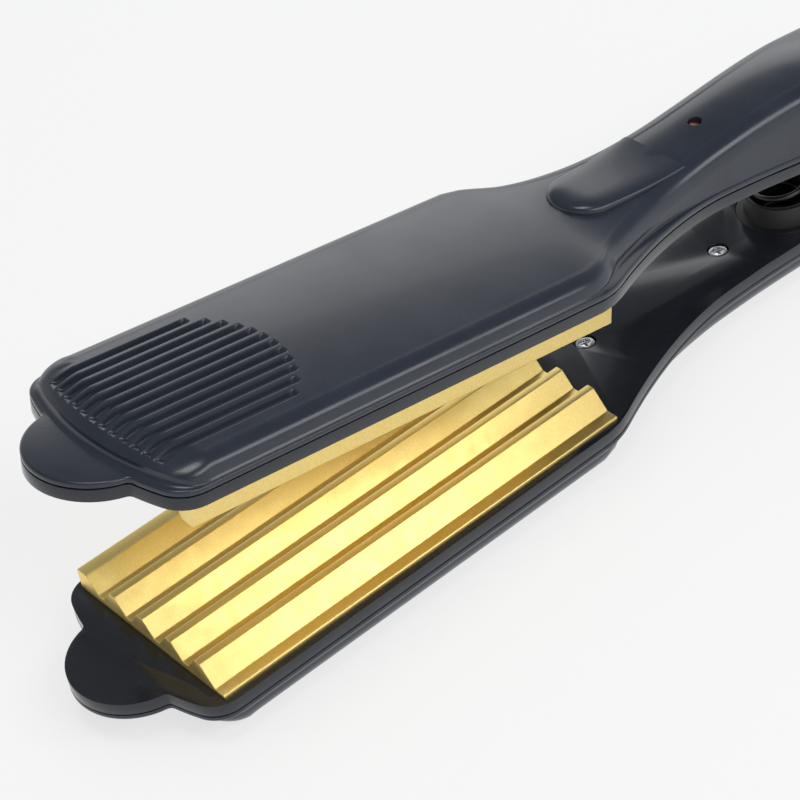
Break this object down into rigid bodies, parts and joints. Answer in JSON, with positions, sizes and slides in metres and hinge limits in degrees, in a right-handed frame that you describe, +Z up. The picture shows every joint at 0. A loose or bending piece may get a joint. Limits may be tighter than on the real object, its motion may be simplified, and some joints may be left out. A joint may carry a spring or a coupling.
{
  "type": "hair waver",
  "caption": "Hinged two-arm hair waver with meshing gold corrugated plates, thumb tabs, grooved grips, a return spring and a rocker switch.",
  "frame": {"origin": "centre of the bounding box in plan, on the surface the lower arm rests on", "axes": "+X from the hinge towards the tips, +Y across the arms, +Z up; the rest pose is open, as let go"},
  "size_m": [0.2787, 0.0512, 0.066],
  "materials": {
    "housing": "glossy moulded",
    "cover": "glossy moulded",
    "gold_plate": "satin gold anodised",
    "heater_body": "plain",
    "insulating_sheet": "thin film",
    "spring_steel": "plain",
    "ceramic": "matt",
    "screw_steel": "bright",
    "lead_sleeve": "braided sleeve",
    "seat_plastic": "moulded",
    "pin_steel": "ground",
    "washer_plastic": "plain",
    "coil_steel": "dark",
    "switch_plastic": "moulded",
    "rocker_plastic": "moulded",
    "contact_brass": "plain",
    "lens": "clear red",
    "lamp": "clear red",
    "board": "coated",
    "bush_rubber": "matt",
    "clamp_plastic": "moulded"
  },
  "bodies": {
    "lower_arm": {"lower_shell": "housing", "lower_cover": "cover", "lower_plate": "gold_plate", "lower_heater": "heater_body", "lower_insulator": "insulating_sheet", "lower_heater_clip": "spring_steel", "lower_fuse": "ceramic", "lower_screws": "screw_steel", "lower_leads": "lead_sleeve", "lower_spring_seat": "seat_plastic", "hinge_pin": "pin_steel", "hinge_washers": "washer_plastic", "hinge_clip": "pin_steel", "return_spring": "coil_steel"},
    "upper_arm": {"upper_shell": "housing", "upper_cover": "cover", "upper_plate": "gold_plate", "upper_heater": "heater_body", "upper_insulator": "insulating_sheet", "upper_heater_clip": "spring_steel", "upper_fuse": "ceramic", "upper_screws": "screw_steel", "upper_leads": "lead_sleeve", "upper_spring_seat": "seat_plastic", "switch_body": "switch_plastic", "switch_contacts": "contact_brass", "indicator_lens": "lens", "indicator_lamp": "lamp", "lamp_board": "board", "cord_bush": "bush_rubber", "cord_clamp": "clamp_plastic", "clamp_screws": "screw_steel"},
    "rocker": {"switch_rocker": "rocker_plastic"}
  },
  "joints": [
    {"name": "arm_hinge", "type": "hinge", "parent": "lower_arm", "child": "upper_arm", "pos_m": [-0.11371, 0, 0.0136], "axis": [0, 1, 0], "range_deg": [0, 9.8], "stiffness_Nm_per_rad": 3, "springref_deg": -8.59, "deforming": ["return_spring"]},
    {"name": "switch_rock", "type": "hinge", "parent": "upper_arm", "child": "rocker", "pos_m": [-0.09289, 0, 0.03993], "axis": [0, 1, 0], "range_deg": [0, 16]}
  ]
}
